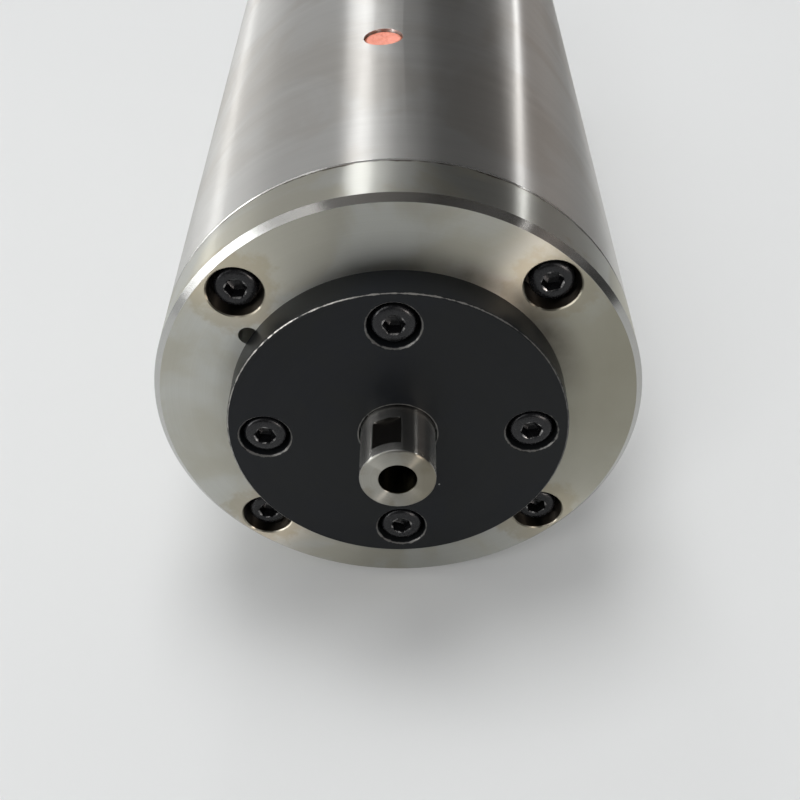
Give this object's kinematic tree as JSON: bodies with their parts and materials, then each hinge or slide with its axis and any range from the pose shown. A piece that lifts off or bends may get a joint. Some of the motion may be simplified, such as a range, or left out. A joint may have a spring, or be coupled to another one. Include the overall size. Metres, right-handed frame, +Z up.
{
  "type": "motor spindle",
  "caption": "Water-cooled motor spindle: round ground-steel body, bolted front flange and black nose cap, short shaft nose with wrench flats and a blind tool bore.",
  "frame": {"origin": "on the spindle axis, in the plane of the flange's front face, inside the tool bore's length", "axes": "+Y along the spindle axis towards the rear cover, so -Y is out of the nose; +Z up, through the top cap screw"},
  "size_m": [0.08, 0.2225, 0.08],
  "materials": {
    "ground_stainless": "ground, satin",
    "turned_steel": "turned, satin",
    "black_oxide_cap": "satin black oxide",
    "black_oxide_screw": "black oxide",
    "shaft_steel": "ground bright",
    "bearing_steel": "polished",
    "copper_plug": "dull copper",
    "jacket_aluminium": "machined",
    "seal_rubber": "matte black",
    "core_laminations": "stacked laminations",
    "winding_copper": "varnished copper",
    "rotor_aluminium": "cast",
    "cage_phenolic": "brown phenolic",
    "connector_metal": "nickel plated",
    "connector_plastic": "black",
    "connector_brass": "silver-flashed brass",
    "fitting_brass": "nickel plated",
    "collet_plastic": "blue acetal"
  },
  "bodies": {
    "housing": {"front_flange": "turned_steel", "nose_cap": "black_oxide_cap", "flange_screws": "black_oxide_screw", "cap_screws": "black_oxide_screw", "housing_sleeve": "ground_stainless", "sleeve_plug": "copper_plug", "water_jacket": "jacket_aluminium", "jacket_seals": "seal_rubber", "stator_core": "core_laminations", "stator_winding": "winding_copper", "front_outer_rings": "bearing_steel", "outer_spacer": "turned_steel", "rear_outer_ring": "bearing_steel", "preload_spring": "bearing_steel", "rear_bearing_housing": "turned_steel", "rear_cover": "turned_steel", "rear_cover_screws": "black_oxide_screw", "connector_shell": "connector_metal", "connector_nut": "connector_metal", "connector_insert": "connector_plastic", "connector_pins": "connector_brass", "inlet_fitting": "fitting_brass", "outlet_fitting": "fitting_brass"},
    "rotor": {"rotor_shaft": "shaft_steel", "slinger_nut": "turned_steel", "front_inner_rings": "bearing_steel", "inner_spacer": "turned_steel", "rotor_core": "core_laminations", "rotor_end_rings": "rotor_aluminium", "rear_inner_ring": "bearing_steel", "rear_nut": "turned_steel"},
    "front_ball_sets": {"front_cages": "cage_phenolic", "front_balls": "bearing_steel"},
    "rear_ball_set": {"rear_cage": "cage_phenolic", "rear_balls": "bearing_steel"},
    "inlet_release": {"inlet_collet": "collet_plastic"},
    "outlet_release": {"outlet_collet": "collet_plastic"}
  },
  "joints": [
    {"name": "spindle_spin", "type": "hinge", "parent": "housing", "child": "rotor", "pos_m": [0, 0, 0], "axis": [0, 1, 0], "continuous": true},
    {"name": "front_balls_spin", "type": "hinge", "parent": "housing", "child": "front_ball_sets", "pos_m": [0, 0.0135, 0], "axis": [0, 1, 0], "continuous": true},
    {"name": "rear_balls_spin", "type": "hinge", "parent": "housing", "child": "rear_ball_set", "pos_m": [0, 0.166, 0], "axis": [0, 1, 0], "continuous": true},
    {"name": "inlet_collet_push", "type": "slide", "parent": "housing", "child": "inlet_release", "axis": [0, -1, 0], "range_m": [0, 0.0008]},
    {"name": "outlet_collet_push", "type": "slide", "parent": "housing", "child": "outlet_release", "axis": [0, -1, 0], "range_m": [0, 0.0008]}
  ],
  "couplings": [
    {"joint": "front_balls_spin", "follows": "spindle_spin", "ratio": 0.4043},
    {"joint": "rear_balls_spin", "follows": "spindle_spin", "ratio": 0.3875}
  ]
}
